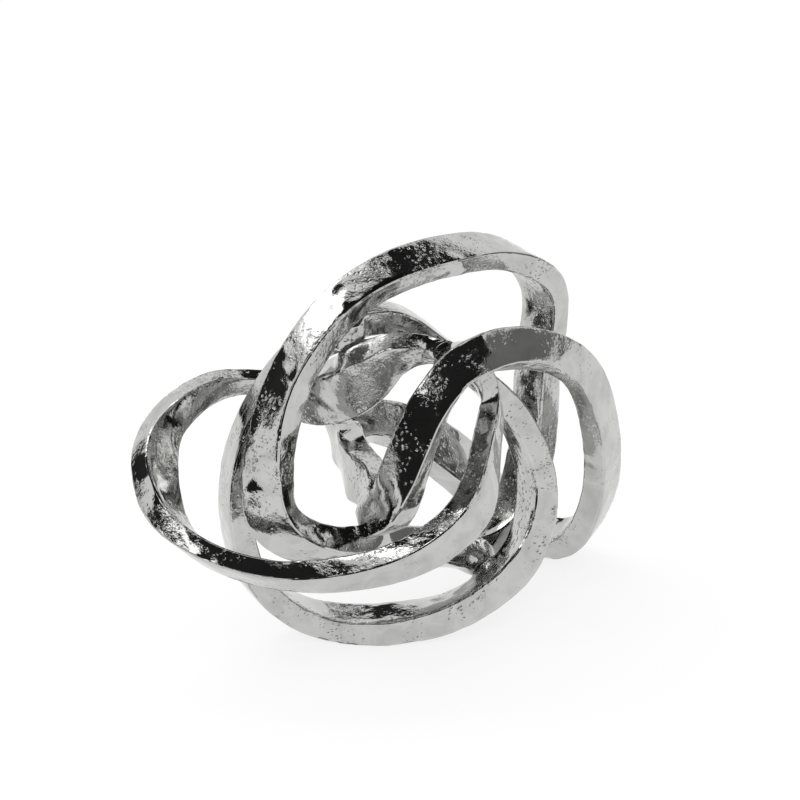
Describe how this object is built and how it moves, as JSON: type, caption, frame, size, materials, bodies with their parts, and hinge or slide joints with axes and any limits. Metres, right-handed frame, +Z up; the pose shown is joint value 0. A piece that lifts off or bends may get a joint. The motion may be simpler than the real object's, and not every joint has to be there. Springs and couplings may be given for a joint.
{
  "type": "chain sculpture",
  "caption": "Standing knot of interlocked closed chain links, cast as broad bands in bright hammered metal; a decorative sculpture for a shelf or table.",
  "frame": {"origin": "Middle of the footprint, on the surface that the sculpture stands on.", "axes": "+X to the right and +Y away from the viewer, as the picture shows it; +Z up."},
  "size_m": [0.2996, 0.2092, 0.2452],
  "materials": {
    "cast_metal": "cast aluminium, hammered and pitted, polished bright like nickel"
  },
  "bodies": {
    "root": {"base_link_upper_half": "cast_metal", "base_link_lower_half": "cast_metal", "top_link_left_half": "cast_metal", "top_link_right_half": "cast_metal", "right_link_front_half": "cast_metal", "right_link_back_half": "cast_metal", "left_link_back_half": "cast_metal", "left_link_front_half": "cast_metal"}
  },
  "joints": []
}
